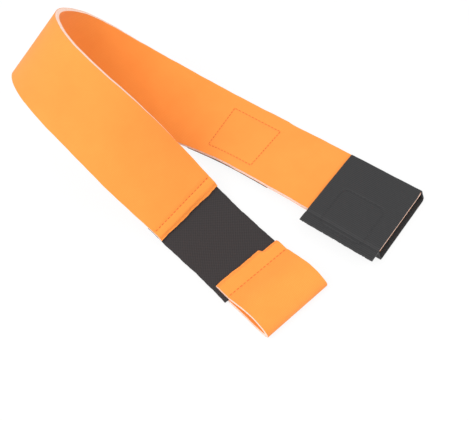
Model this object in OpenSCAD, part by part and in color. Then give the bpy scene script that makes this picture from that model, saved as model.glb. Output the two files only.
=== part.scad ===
// Wrap-around tourniquet strap: a neoprene band with a hook tape section and a
// finger loop at one end, and a webbing keeper sleeve at the other.
// Millimetres, +Z up. The origin is the middle of the keeper's underside, on the
// surface the strap lies on; +X runs along the far leg to the keeper's mouth.

/* [Band] */
// Width of the neoprene band
band_width = 50; // [46:1:50]
// Thickness of the whole laminate
band_thickness = 3.0; // [2.8:0.1:3.0]
// Thickness of each knitted jersey facing
jersey_thickness = 0.5; // [0.3:0.1:0.6]
// Longest distance between two modelled cross-sections
section_step = 4; // [3:1:8]

/* [Hook tape] */
// Thickness of the woven tape
tape_thickness = 1.4; // [1.0:0.1:1.4]
// Height of the hooks under the tape
hook_height = 1.2; // [0.8:0.1:1.2]
// Bare tape between each end and the hook field
hook_margin = 5; // [5:1:10]
// Length of tape sewn under the band
tape_lap_length = 12; // [8:1:14]

/* [Finger loop] */
// Width of the folded neoprene loop
loop_width = 46.5; // [40:0.5:46.5]
// How far the tape runs between the loop's two plies
tape_root_length = 11; // [9:0.5:11]

/* [Pile patch] */
// Thickness of the pile fabric
pile_thickness = 1.0; // [0.6:0.1:1.0]
// Length of the patch along the band
pile_length = 68; // [50:1:70]

/* [Keeper sleeve] */
// Thickness of the ribbed webbing
webbing_thickness = 1.2; // [0.8:0.1:1.2]
// Length of the sleeve along the band
keeper_length = 50.5; // [48:0.5:51]
// Width of the sewn flap beside the band
flap_width = 7.6; // [6:0.2:9]

/* [Thread] */
// Width of a sewn line
thread_width = 0.8; // [0.5:0.1:1.0]
// Height of a sewn line above the cloth
thread_height = 0.3; // [0.2:0.05:0.4]

/* [Hidden] */
// Middle of the band, [x, y, z, bank angle], as the handles of a smooth curve
// that starts at the hook tape and ends at the keeper.
route = [
  [14, -87, 1.5, 0], [-35, -78, 1.5, 0], [-90, -66, 1.5, 0],
  [-130, -76, 62, 48], [-180, -76, 87, 45], [-211, -56, 82, 33],
  [-210, -23, 43, 119], [-167, -8, 11, 148], [-107, 0, 6, 180],
  [-65, 0, 7, 180], [-28, 0, 7, 180], [19, 0, 7, 180]
];
// Middle of the loop's ply, [distance from the tape, height], as curve handles.
loop_profile = [
  [-6, 5.9], [0, 5.9], [6, 5.9], [12, 5.9], [18, 8], [25, 10.6], [33, 10.4],
  [40, 8], [43.3, 4.5], [40, 1.5], [33, 1.5], [22, 1.5], [11, 1.5], [0, 1.5],
  [-11, 1.5]
];
// Heading of the loop, seen from above.
loop_heading = -9.5;
// Sideways shift of the loop on the tape.
loop_shift = 1.25;
// Stations along the band, measured from the loop.
tape_start = 0.9;
tape_end = 48.2;
band_start = 49;
lap_start = 49.6;
near_fold = 185;
far_fold = 225;
patch_start = 344;
patch_end = patch_start + pile_length;
box_start = 358;
box_end = 394;
box_low = -18;
box_high = 15.5;
lap_seam = 55;
loop_seam = 9;

half_band = band_width / 2;
half_laminate = band_thickness / 2;
core_half = half_laminate - jersey_thickness;
half_tape = tape_thickness / 2;
// Middle of the tape, from the band's middle: under the band, and in the loop.
tape_drop = half_laminate + half_tape;
tape_rise = band_thickness + half_tape - 1.5;
across_count = 4;
curve_steps = 16;
span_count = len(route) - 3;

// Sleeve heights and sideways limits.
sleeve_middle = 7;
band_under = sleeve_middle - half_laminate;
band_top = sleeve_middle + half_laminate;
sleeve_top = band_top + webbing_thickness;
bend_outer = webbing_thickness + 1.3;
bend_inner = 1.3;
strap_tuck = 1.2;
fold_side = half_band + 1.3;
wall_side = -half_band - 2.4;
flap_side = wall_side - flap_width;
sleeve_back = -25;
sleeve_front = sleeve_back + keeper_length;
rim_reach = 2.5;
strap_tip = sleeve_front - 0.7;
// Space that lets the band turn where it enters the sleeve.
hinge_gap = 0.92;
// A sewn line stands clear of the flat facets that stand for the curved cloth.
seam_lift = 0.15;

// ---- Curves ----

// Point of a smooth curve through its handles; t counts spans.
function curve_at(handles, t) =
  let (i = min(floor(t), len(handles) - 4))
  let (u = t - i)
  ((1 - u) ^ 3 * handles[i] + (3 * u ^ 3 - 6 * u ^ 2 + 4) * handles[i + 1]
    + (-3 * u ^ 3 + 3 * u ^ 2 + 3 * u + 1) * handles[i + 2] + u ^ 3 * handles[i + 3]) / 6;

// Direction of the same curve.
function slope_at(handles, t) =
  let (i = min(floor(t), len(handles) - 4))
  let (u = t - i)
  (-(1 - u) ^ 2 * handles[i] + (3 * u ^ 2 - 4 * u) * handles[i + 1]
    + (-3 * u ^ 2 + 2 * u + 1) * handles[i + 2] + u ^ 2 * handles[i + 3]) / 2;

function xyz(p) = [p[0], p[1], p[2]];
function unit(v) = v / norm(v);
function route_point(k) = xyz(curve_at(route, k / curve_steps));

// Length of the band up to each small step, paired with its place on the curve.
step_lengths = [
  for (k = 0, total = 0;
       k <= span_count * curve_steps;
       k = k + 1, total = total + norm(route_point(k) - route_point(k - 1)))
    [total, k / curve_steps]
];
band_end = step_lengths[span_count * curve_steps][0];
function place(s) = lookup(min(s, band_end), step_lengths);

// ---- The band's own frame at a station ----

function centre(s) = xyz(curve_at(route, place(s)));
function along(s) = unit(xyz(slope_at(route, place(s))));
function across(s) =
  let (t = along(s))
  let (level = unit(cross(t, [0, 0, 1])))
  let (bank = curve_at(route, place(s))[3])
  level * cos(bank) + cross(level, t) * sin(bank);
function outward(s) = cross(across(s), along(s));
function on_band(s, w, h) = centre(s) + w * across(s) + h * outward(s);

// Evenly spaced stations no further apart than the section step.
function stations(first, last) =
  let (count = ceil((last - first) / section_step))
  [for (k = [0:count]) first + (last - first) * k / count];
function rest_of(list) = [for (k = [1:len(list) - 1]) list[k]];

// Positions across a strip, from its near edge to its far edge.
function widths(low, high) = [for (k = [0:across_count]) low + (high - low) * k / across_count];
full_width = widths(-half_band, half_band);

// One cross-section of a strip: its lower side outwards, its upper side back.
function band_row(s, low, high, spread = full_width) = concat(
  [for (w = spread) on_band(s, w, low)],
  [for (k = [across_count:-1:0]) on_band(s, spread[k], high)]
);

// Middle of the tape: it leaves the band below and enters the loop above.
function tape_offset(s) =
  let (u = min(max(s / band_start, 0), 1))
  tape_rise - (tape_rise + tape_drop) * u * u * (3 - 2 * u);
function tape_row(s, low, high) = band_row(s, tape_offset(s) + low, tape_offset(s) + high);

// ---- The loop's own frame ----

loop_root = [centre(0)[0], centre(0)[1], 0];
loop_way = [cos(loop_heading), sin(loop_heading), 0];
loop_low = loop_shift - loop_width / 2;
loop_high = loop_shift + loop_width / 2;
function on_loop(u, w, h) = loop_root + u * loop_way + w * across(0) + [0, 0, h];
function loop_point(t, off) =
  let (p = curve_at(loop_profile, t))
  let (d = unit(slope_at(loop_profile, t)))
  [p[0] - off * d[1], p[1] + off * d[0]];
function loop_row(t, low, high) =
  let (a = loop_point(t, low))
  let (b = loop_point(t, high))
  [on_loop(a[0], loop_low, a[1]), on_loop(a[0], loop_high, a[1]),
   on_loop(b[0], loop_high, b[1]), on_loop(b[0], loop_low, b[1])];

// ---- Solids ----

// Two triangles between neighbouring sections. The short diagonal runs the same
// way on every ply, so plies that touch share one surface.
function side_faces(i, k, n, half) =
  let (m = (k + 1) % n)
  let (a = i * n + k)
  let (b = i * n + m)
  let (c = (i + 1) * n + m)
  let (d = (i + 1) * n + k)
  k >= half ? [[a, b, d], [b, c, d]] : [[a, b, c], [a, c, d]];

// A closed solid through a list of equal cross-sections.
module swept(rows) {
  n = len(rows[0]);
  last = len(rows) - 1;
  half = n / 2;
  polyhedron(
    points = [for (row = rows) each row],
    faces = concat(
      [for (k = [0:half - 2]) [n - 1 - k, n - 2 - k, k + 1, k]],
      [for (i = [0:last - 1]) for (k = [0:n - 1]) each side_faces(i, k, n, half)],
      [for (k = [0:half - 2]) [for (m = [k, k + 1, n - 2 - k, n - 1 - k]) last * n + m]]
    ),
    convexity = 8
  );
}

// A flat ring sewn round a box: the sections go once round its four sides.
module sewn_box(sections) {
  n = len(sections);
  polyhedron(
    points = [for (row = sections) each row],
    faces = [
      for (i = [0:n - 1]) for (k = [0:3])
        let (j = (i + 1) % n)
        let (m = (k + 1) % 4)
        each [[4 * i + k, 4 * j + m, 4 * i + m], [4 * i + k, 4 * j + k, 4 * j + m]]
    ],
    convexity = 8
  );
}

module band_ply(list, low, high) {
  swept([for (s = list) band_row(s, low, high)]);
}

module loop_ply(low, high) {
  spans = len(loop_profile) - 3;
  swept([for (k = [0:spans * 5]) loop_row(k / 5, low, high)]);
}

far_list = concat(
  stations(far_fold, patch_start),
  rest_of(stations(patch_start, patch_end)),
  rest_of(stations(patch_end, band_end))
);
near_list = concat(
  [band_start],
  stations(lap_start, lap_start + tape_lap_length),
  rest_of(stations(lap_start + tape_lap_length, near_fold))
);
bend_list = stations(near_fold, far_fold);

// ---- Far leg ----

module far_outer_jersey() {
  color("darkorange") band_ply(far_list, core_half, half_laminate);
}

module far_foam_core() {
  color("bisque") band_ply(far_list, -core_half, core_half);
}

module far_inner_jersey() {
  color("darkorange") band_ply(far_list, -half_laminate, -core_half);
}

module pile_patch() {
  color("dimgray")
    band_ply(stations(patch_start, patch_end), half_laminate, half_laminate + pile_thickness);
}

// Points round a box on the band, the same number on every side.
function box_path(s0, s1, w0, w1) = concat(
  [for (k = [0:8]) [s0 + (s1 - s0) * k / 9, w0]],
  [for (k = [0:8]) [s1, w0 + (w1 - w0) * k / 9]],
  [for (k = [0:8]) [s1 - (s1 - s0) * k / 9, w1]],
  [for (k = [0:8]) [s0, w1 - (w1 - w0) * k / 9]]
);

module patch_stitch() {
  low = -half_laminate - seam_lift;
  high = low - thread_height;
  t = thread_width;
  outer = box_path(box_start, box_end, box_low, box_high);
  inner = box_path(box_start + t, box_end - t, box_low + t, box_high - t);
  color("orangered")
    sewn_box([
      for (k = [0:len(outer) - 1])
        [
          on_band(outer[k][0], outer[k][1], low), on_band(inner[k][0], inner[k][1], low),
          on_band(inner[k][0], inner[k][1], high), on_band(outer[k][0], outer[k][1], high)
        ]
    ]);
}

// ---- Bend ----

module bend_outer_jersey() {
  color("darkorange") band_ply(bend_list, core_half, half_laminate);
}

module bend_foam_core() {
  color("bisque") band_ply(bend_list, -core_half, core_half);
}

module bend_inner_jersey() {
  color("darkorange") band_ply(bend_list, -half_laminate, -core_half);
}

// ---- Near leg ----

module near_outer_jersey() {
  color("darkorange") band_ply(near_list, core_half, half_laminate);
}

module near_foam_core() {
  color("bisque") band_ply(near_list, -core_half, core_half);
}

module near_inner_jersey() {
  color("darkorange") band_ply(near_list, -half_laminate, -core_half);
}

module tape_lap() {
  color("darkslategray")
    band_ply(stations(lap_start, lap_start + tape_lap_length), -half_laminate - tape_thickness,
      -half_laminate);
}

module lap_stitch() {
  low = half_laminate + seam_lift;
  edge = widths(1 - half_band, half_band - 1);
  color("orangered")
    swept([
      for (s = [lap_seam, lap_seam + thread_width]) band_row(s, low, low + thread_height, edge)
    ]);
}

// ---- Hook tape ----

module tape_backing() {
  color("darkslategray")
    swept([for (s = stations(tape_start, tape_end)) tape_row(s, -half_tape, half_tape)]);
}

module hook_field() {
  color("black")
    swept([
      for (s = stations(hook_margin, band_start - hook_margin))
        tape_row(s, -half_tape - hook_height, -half_tape)
    ]);
}

// ---- Finger loop ----

module loop_outer_jersey() {
  color("darkorange") loop_ply(core_half, half_laminate);
}

module loop_foam_core() {
  color("bisque") loop_ply(-core_half, core_half);
}

module loop_inner_jersey() {
  color("darkorange") loop_ply(-half_laminate, -core_half);
}

module tape_root() {
  start = 0.6;
  low = band_thickness + 0.02;
  high = low + tape_thickness - 0.04;
  color("darkslategray")
    swept([
      for (u = [start, tape_root_length])
        [
          on_loop(u, loop_low, low), on_loop(u, loop_high, low),
          on_loop(u, loop_high, high), on_loop(u, loop_low, high)
        ]
    ]);
}

module loop_stitch() {
  low = 2 * band_thickness + tape_thickness + seam_lift;
  high = low + thread_height;
  color("orangered")
    swept([
      for (u = [loop_seam, loop_seam + thread_width])
        [
          on_loop(u, loop_low + 1, low), on_loop(u, loop_high - 1, low),
          on_loop(u, loop_high - 1, high), on_loop(u, loop_low + 1, high)
        ]
    ]);
}

// ---- Band end inside the keeper ----

// The band runs on straight past its hinge line. Beside the sleeve's fold it is
// trimmed narrower.
module end_ply(low, high) {
  start = centre(band_end)[0] + hinge_gap;
  shoulder = sleeve_back - 0.15;
  translate([start, -half_band, low])
    cube([shoulder - start, band_width, high - low]);
  translate([shoulder, -half_band, low])
    cube([strap_tip - shoulder, band_width - strap_tuck, high - low]);
}

module end_outer_jersey() {
  color("darkorange") end_ply(band_under, band_under + jersey_thickness);
}

module end_foam_core() {
  color("bisque") end_ply(band_under + jersey_thickness, band_top - jersey_thickness);
}

module end_inner_jersey() {
  color("darkorange") end_ply(band_top - jersey_thickness, band_top);
}

// ---- Keeper sleeve ----

// Quarter of a webbing bend round a centre; the turn gives its quadrant.
module quarter_bend(y, z, turn) {
  translate([y, z])
    rotate(turn)
      difference() {
        intersection() {
          circle(r = bend_outer, $fn = 48);
          square(bend_outer);
        }
        circle(r = bend_inner, $fn = 48);
      }
}

// A flat run of webbing between two corners.
module run_2d(y0, z0, y1, z1) {
  translate([y0, z0]) square([y1 - y0, z1 - z0]);
}

// The sleeve seen along the band: over the band, round its far side, back under
// it with the channel between, then up and out beside it as the flap's lower ply.
module sleeve_section() {
  right = fold_side - bend_outer;
  left = wall_side + bend_outer;
  lift = band_top - bend_outer;
  turn_out = wall_side - bend_inner;
  run_2d(flap_side, band_top, right, sleeve_top);
  quarter_bend(right, sleeve_top - bend_outer, 0);
  run_2d(fold_side - webbing_thickness, bend_outer, fold_side, sleeve_top - bend_outer);
  quarter_bend(right, bend_outer, 270);
  run_2d(left, 0, right, webbing_thickness);
  quarter_bend(left, bend_outer, 180);
  run_2d(wall_side, bend_outer, wall_side + webbing_thickness, lift);
  quarter_bend(turn_out, lift, 0);
  run_2d(flap_side + 0.6, band_top - webbing_thickness, turn_out, band_top);
}

module keeper_ribbon() {
  slant = atan2(rim_reach, band_top);
  color("dimgray")
    difference() {
      translate([sleeve_back, 0, 0])
        rotate([90, 0, 90])
          linear_extrude(height = keeper_length + rim_reach)
            sleeve_section();
      // The mouth slants, so the lower rim reaches further out.
      translate([sleeve_front, flap_side - 1, band_top])
        rotate([0, slant, 0])
          translate([0, 0, -30])
            cube([20, fold_side - flap_side + 2, 60]);
      // The cut end is uneven: one short and one long notch.
      translate([-19.5, flap_side - 0.1, -1])
        cube([2.2, 1.1, sleeve_top + 2]);
      translate([2, flap_side - 0.1, -1])
        cube([15, 0.5, sleeve_top + 2]);
    }
}

// A rounded outline, as its outer shape less its inner one.
module rounded_plate(x0, y0, x1, y1, r) {
  translate([x0 + r, y0]) square([x1 - x0 - 2 * r, y1 - y0]);
  translate([x0, y0 + r]) square([x1 - x0, y1 - y0 - 2 * r]);
  for (x = [x0 + r, x1 - r])
    for (y = [y0 + r, y1 - r])
      translate([x, y]) circle(r = r, $fn = 48);
}

module keeper_box_stitch() {
  back = -14.8;
  front = 14.5;
  low = -30;
  corner = 4;
  t = thread_width;
  color("dimgray")
    translate([0, 0, sleeve_top])
      linear_extrude(height = thread_height)
        difference() {
          rounded_plate(back, low, front, 0, corner);
          rounded_plate(back + t, low + t, front - t, -t, corner - t);
        }
}

module keeper_flap_stitch() {
  inset = 1;
  color("dimgray")
    translate([sleeve_back + inset, flap_side + 2.4, sleeve_top])
      cube([keeper_length - 2 * inset, thread_width, thread_height]);
}

far_outer_jersey();
far_foam_core();
far_inner_jersey();
pile_patch();
patch_stitch();
bend_outer_jersey();
bend_foam_core();
bend_inner_jersey();
near_outer_jersey();
near_foam_core();
near_inner_jersey();
tape_lap();
lap_stitch();
tape_backing();
hook_field();
loop_outer_jersey();
loop_foam_core();
loop_inner_jersey();
tape_root();
loop_stitch();
end_outer_jersey();
end_foam_core();
end_inner_jersey();
keeper_ribbon();
keeper_box_stitch();
keeper_flap_stitch();
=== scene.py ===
"""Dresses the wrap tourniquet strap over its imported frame, ready to render.

Every length inside the classes is in millimetres and every finished mesh is in metres, in the
frame's own axes: +X along the far leg to the keeper's mouth, +Z up from the table.
"""

from __future__ import annotations

import logging
import math
from dataclasses import dataclass, field
from enum import Enum
from typing import Callable, Sequence

import bmesh
import bpy
import numpy as np
from mathutils import Matrix, Vector

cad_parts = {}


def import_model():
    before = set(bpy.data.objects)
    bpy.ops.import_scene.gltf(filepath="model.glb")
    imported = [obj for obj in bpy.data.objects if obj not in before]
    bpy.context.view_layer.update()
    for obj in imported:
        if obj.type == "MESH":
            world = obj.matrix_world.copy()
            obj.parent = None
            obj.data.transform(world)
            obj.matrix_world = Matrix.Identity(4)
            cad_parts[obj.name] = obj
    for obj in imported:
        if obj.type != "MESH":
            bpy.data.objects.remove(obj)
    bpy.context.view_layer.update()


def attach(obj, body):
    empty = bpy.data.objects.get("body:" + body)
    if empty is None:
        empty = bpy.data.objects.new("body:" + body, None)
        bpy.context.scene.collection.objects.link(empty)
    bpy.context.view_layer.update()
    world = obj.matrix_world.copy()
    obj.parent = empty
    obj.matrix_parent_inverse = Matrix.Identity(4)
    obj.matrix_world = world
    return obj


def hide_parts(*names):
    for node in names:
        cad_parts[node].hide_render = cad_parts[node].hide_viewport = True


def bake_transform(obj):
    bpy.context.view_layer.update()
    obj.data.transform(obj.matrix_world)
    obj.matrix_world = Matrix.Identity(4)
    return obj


LOG = logging.getLogger("tourniquet")
MM = 0.001
SEED = 7
SHARP_ANGLE = math.radians(38)

Flat = np.ndarray
Place = Callable[[Flat], Flat]


class Ply(Enum):
    """The three plies of the neoprene laminate, from the outer face inwards."""

    OUTER = "outer_jersey"
    CORE = "foam_core"
    INNER = "inner_jersey"

    @property
    def slot(self) -> str:
        """The record's material slot for this ply."""
        return "neoprene_foam" if self is Ply.CORE else "knit_jersey"


def ply_heights(thickness: float, jersey: float) -> dict[Ply, tuple[float, float]]:
    """Finds each ply's two faces, measured from the laminate's middle.

    Args:
        thickness: Thickness of the whole laminate.
        jersey: Thickness of one knit face.

    Returns:
        The lower and upper height of each ply.
    """
    half = thickness / 2
    core = half - jersey
    return {Ply.OUTER: (core, half), Ply.CORE: (-core, core), Ply.INNER: (-half, -core)}


class Hold(Enum):
    """How a piece of cloth is held, in the frame's own words."""

    FOLDED = "folded"
    STRETCHED = "stretched"
    LAID = "laid"


# ---------------------------------------------------------------------------
# Colours and shader nodes
# ---------------------------------------------------------------------------


def linear(hex_colour: str) -> tuple[float, float, float, float]:
    """Turns an sRGB hex colour into linear light.

    Args:
        hex_colour: Six hex digits, with or without a leading hash.

    Returns:
        Red, green, blue and an alpha of 1, in linear light.
    """
    digits = hex_colour.lstrip("#")
    channels = [int(digits[k : k + 2], 16) / 255 for k in (0, 2, 4)]
    lit = [c / 12.92 if c <= 0.04045 else ((c + 0.055) / 1.055) ** 2.4 for c in channels]
    return (lit[0], lit[1], lit[2], 1.0)


def add_node(
    tree: bpy.types.NodeTree,
    kind: str,
    settings: dict[str, object] | None = None,
    links: dict[str | int, bpy.types.NodeSocket] | None = None,
) -> bpy.types.Node:
    """Adds one shader node with its settings and incoming links.

    Args:
        tree: The node tree to add to.
        kind: The node's type name.
        settings: Node properties or input values, by name.
        links: Sockets to join to this node's inputs, by input name or place.

    Returns:
        The new node.
    """
    node = tree.nodes.new(kind)
    for name, value in (settings or {}).items():
        if isinstance(name, str) and hasattr(node, name):
            setattr(node, name, value)
        else:
            node.inputs[name].default_value = value
    for name, socket in (links or {}).items():
        tree.links.new(socket, node.inputs[name])
    return node


def fresh_material(name: str) -> tuple[bpy.types.Material, bpy.types.NodeTree, bpy.types.Node]:
    """Makes an empty material with an output.

    Args:
        name: The material's name.

    Returns:
        The material, its node tree and its output node.
    """
    material = bpy.data.materials.new(name)
    material.use_nodes = True
    tree = material.node_tree
    tree.nodes.clear()
    return material, tree, tree.nodes.new("ShaderNodeOutputMaterial")


def dress(
    tree: bpy.types.NodeTree,
    out: bpy.types.Node,
    hues: tuple[str, str],
    share: bpy.types.NodeSocket,
    height: bpy.types.NodeSocket,
    relief: tuple[float, float],
    looks: dict[str, object],
) -> None:
    """Ends a material: two hues mixed by a pattern, its relief and its surface.

    Args:
        tree: The material's node tree.
        out: Its output node.
        hues: Hex colours where the pattern is 0 and where it is 1.
        share: The pattern that mixes the hues.
        height: The pattern that raises the surface.
        relief: Strength of the relief, and its depth in millimetres.
        looks: Values of the surface's own inputs.
    """
    tone = add_node(
        tree, "ShaderNodeMix",
        {"data_type": "RGBA", 6: linear(hues[0]), 7: linear(hues[1])}, {0: share},
    )
    bump = add_node(
        tree, "ShaderNodeBump", {"Strength": relief[0], "Distance": relief[1] * MM},
        {"Height": height},
    )
    shader = add_node(
        tree, "ShaderNodeBsdfPrincipled", looks,
        {"Base Color": tone.outputs[2], "Normal": bump.outputs["Normal"]},
    )
    tree.links.new(shader.outputs[0], out.inputs[0])


@dataclass(frozen=True)
class KnitJersey:
    """Polyamide knit laminated to neoprene: matt, with fine ribs of stitches along the band."""

    name: str = "polyamide_knit_jersey"
    colour: str = "#FB9A3E"
    valley: str = "#F08A30"
    # A real wale is about 0.5 mm; it is drawn at twice that so that it shows.
    wale_mm: float = 1.0
    course_mm: float = 1.3
    cloud_mm: float = 22.0
    relief: tuple[float, float] = (0.35, 0.08)

    def build(self) -> bpy.types.Material:
        """Makes the knit from its wales and courses, read from the cloth's own map.

        Returns:
            The new material.
        """
        material, tree, out = fresh_material(self.name)
        cloth = add_node(tree, "ShaderNodeUVMap", {"uv_map": "cloth"})
        axes = add_node(tree, "ShaderNodeSeparateXYZ", links={"Vector": cloth.outputs["UV"]})
        step = add_node(
            tree, "ShaderNodeMath", {"operation": "DIVIDE", 1: self.course_mm},
            {0: axes.outputs["X"]},
        )
        lean = add_node(
            tree, "ShaderNodeMath", {"operation": "PINGPONG", 1: 0.5}, {0: step.outputs[0]}
        )
        wale = add_node(
            tree, "ShaderNodeMath", {"operation": "DIVIDE", 1: self.wale_mm},
            {0: axes.outputs["Y"]},
        )
        vee = add_node(
            tree, "ShaderNodeMath", {"operation": "ADD"},
            {0: wale.outputs[0], 1: lean.outputs[0]},
        )
        stitch = add_node(
            tree, "ShaderNodeMath", {"operation": "PINGPONG", 1: 0.5}, {0: vee.outputs[0]}
        )
        height = add_node(
            tree, "ShaderNodeMath", {"operation": "MULTIPLY", 1: 2.0}, {0: stitch.outputs[0]}
        )
        place = add_node(tree, "ShaderNodeTexCoord")
        cloud = add_node(
            tree, "ShaderNodeTexNoise",
            {"Scale": 1 / (self.cloud_mm * MM), "Detail": 3.0, "Roughness": 0.55},
            {"Vector": place.outputs["Object"]},
        )
        fade = add_node(
            tree, "ShaderNodeMapRange",
            {"From Min": 0.3, "From Max": 0.7, "To Min": 0.35, "To Max": 1.0},
            {"Value": cloud.outputs["Fac"]},
        )
        share = add_node(
            tree, "ShaderNodeMath", {"operation": "MULTIPLY"},
            {0: height.outputs[0], 1: fade.outputs[0]},
        )
        looks = {"Roughness": 0.82, "Sheen Weight": 0.08, "Sheen Roughness": 0.6}
        dress(
            tree, out, (self.valley, self.colour), share.outputs[0],
            height.outputs[0], self.relief, looks,
        )
        return material


@dataclass(frozen=True)
class ClosedCellFoam:
    """Chloroprene foam cut with a blade: pale, dull, with tiny open cells on the cut."""

    name: str = "closed_cell_neoprene_foam"
    colour: str = "#FBD9C8"
    pit: str = "#EDB9A0"
    # Real cells are about 0.2 mm across; they are drawn at 0.6 mm so that they show.
    cell_mm: float = 0.6
    relief: tuple[float, float] = (0.25, 0.06)

    def build(self) -> bpy.types.Material:
        """Makes the cut foam from small round cells.

        Returns:
            The new material.
        """
        material, tree, out = fresh_material(self.name)
        place = add_node(tree, "ShaderNodeTexCoord")
        cells = add_node(
            tree, "ShaderNodeTexVoronoi", {"Scale": 1 / (self.cell_mm * MM)},
            {"Vector": place.outputs["Object"]},
        )
        share = add_node(
            tree, "ShaderNodeMapRange", {"From Min": 0.1, "From Max": 0.5},
            {"Value": cells.outputs["Distance"]},
        )
        dress(
            tree, out, (self.pit, self.colour), share.outputs[0],
            share.outputs[0], self.relief, {"Roughness": 0.9},
        )
        return material


@dataclass(frozen=True)
class PlainWeave:
    """Polyamide tape in plain weave: near black, dull, with a fine grid of yarns."""

    name: str = "woven_polyamide_tape"
    colour: str = "#322D2E"
    gap: str = "#211D1E"
    # Real yarns lie 0.4 mm apart; they are drawn at twice that so that they show.
    yarn_mm: float = 0.8
    relief: tuple[float, float] = (0.4, 0.1)

    def build(self) -> bpy.types.Material:
        """Makes the weave from two crossed sets of yarns.

        Returns:
            The new material.
        """
        material, tree, out = fresh_material(self.name)
        cloth = add_node(tree, "ShaderNodeUVMap", {"uv_map": "cloth"})
        axes = add_node(tree, "ShaderNodeSeparateXYZ", links={"Vector": cloth.outputs["UV"]})
        waves = []
        for axis in ("X", "Y"):
            turn = add_node(
                tree, "ShaderNodeMath", {"operation": "MULTIPLY", 1: math.pi / self.yarn_mm},
                {0: axes.outputs[axis]},
            )
            waves.append(
                add_node(tree, "ShaderNodeMath", {"operation": "SINE"}, {0: turn.outputs[0]})
            )
        checks = add_node(
            tree, "ShaderNodeMath", {"operation": "MULTIPLY"},
            {0: waves[0].outputs[0], 1: waves[1].outputs[0]},
        )
        share = add_node(
            tree, "ShaderNodeMapRange", {"From Min": -1.0, "From Max": 1.0},
            {"Value": checks.outputs[0]},
        )
        dress(
            tree, out, (self.gap, self.colour), share.outputs[0],
            share.outputs[0], self.relief, {"Roughness": 0.85},
        )
        return material


@dataclass(frozen=True)
class RibbedWebbing:
    """Polyester cross-ribbed webbing: near black; its soft shine on top of each rib is a painted
    highlight, and the grooves between ribs carry painted shade.
    """

    name: str = "ribbed_polyester_webbing"
    colour: str = "#303031"
    groove_shade: str = "#19191B"
    yarn_mm: float = 0.7
    rib_mm: float = 1.25
    relief: tuple[float, float] = (0.5, 0.08)

    def build(self) -> bpy.types.Material:
        """Makes the ribs' painted shading, lighter on each crest as a painted highlight and darker in
        each groove as painted shade, and the fine warp that crosses them.

        Returns:
            The new material.
        """
        material, tree, out = fresh_material(self.name)
        cloth = add_node(tree, "ShaderNodeUVMap", {"uv_map": "cloth"})
        axes = add_node(tree, "ShaderNodeSeparateXYZ", links={"Vector": cloth.outputs["UV"]})
        rib = add_node(
            tree, "ShaderNodeMath", {"operation": "DIVIDE", 1: self.rib_mm},
            {0: axes.outputs["Y"]},
        )
        crest_highlight = add_node(
            tree, "ShaderNodeMath", {"operation": "PINGPONG", 1: 0.5}, {0: rib.outputs[0]}
        )
        warp = add_node(
            tree, "ShaderNodeMath", {"operation": "DIVIDE", 1: self.yarn_mm},
            {0: axes.outputs["X"]},
        )
        yarn = add_node(
            tree, "ShaderNodeMath", {"operation": "PINGPONG", 1: 0.5}, {0: warp.outputs[0]}
        )
        # The rib crests take the lighter hue as a painted highlight and the grooves the darker hue as
        # painted shade.
        both = add_node(
            tree, "ShaderNodeMath", {"operation": "MULTIPLY_ADD", 1: 0.5},
            {0: yarn.outputs[0], 2: crest_highlight.outputs[0]},
        )
        share = add_node(
            tree, "ShaderNodeMapRange", {"From Min": 0.1, "From Max": 0.7},
            {"Value": both.outputs[0]},
        )
        dress(
            tree, out, (self.groove_shade, self.colour), share.outputs[0],
            yarn.outputs[0], self.relief, {"Roughness": 0.7, "Sheen Weight": 0.05},
        )
        return material


@dataclass(frozen=True)
class PlainFibre:
    """A small fibrous or moulded part of one colour with a little mottling."""

    name: str
    colour: str
    shade: str
    grain_mm: float
    roughness: float
    relief: tuple[float, float] = (0.4, 0.05)

    def build(self) -> bpy.types.Material:
        """Makes the mottled colour and a matching fine bump.

        Returns:
            The new material.
        """
        material, tree, out = fresh_material(self.name)
        place = add_node(tree, "ShaderNodeTexCoord")
        grain = add_node(
            tree, "ShaderNodeTexNoise", {"Scale": 1 / (self.grain_mm * MM), "Detail": 2.0},
            {"Vector": place.outputs["Object"]},
        )
        dress(
            tree, out, (self.shade, self.colour), grain.outputs["Fac"],
            grain.outputs["Fac"], self.relief, {"Roughness": self.roughness},
        )
        return material


# Sewing thread is glossier than the knit. The orange thread is painted darker than the knit along its
# whole length: painted shade, standing for the shade where the thread sinks into the knit.
SHADED_ORANGE_THREAD = PlainFibre("orange_sewing_thread_painted_shade", "#E0661C", "#C04A10", 0.5, 0.6)
BLACK_THREAD = PlainFibre("black_sewing_thread", "#2C2C2E", "#1A1A1C", 0.5, 0.6)
# Extruded polyamide hooks: black with a slight gloss.
HOOK_PLASTIC = PlainFibre("moulded_polyamide_hooks", "#1C1B1B", "#141313", 1.5, 0.45)
# Brushed loops: black, dull and uneven.
BRUSHED_PILE = PlainFibre("brushed_polyamide_pile", "#2A2829", "#151415", 0.9, 0.95)


# ---------------------------------------------------------------------------
# Curves
# ---------------------------------------------------------------------------


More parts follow.
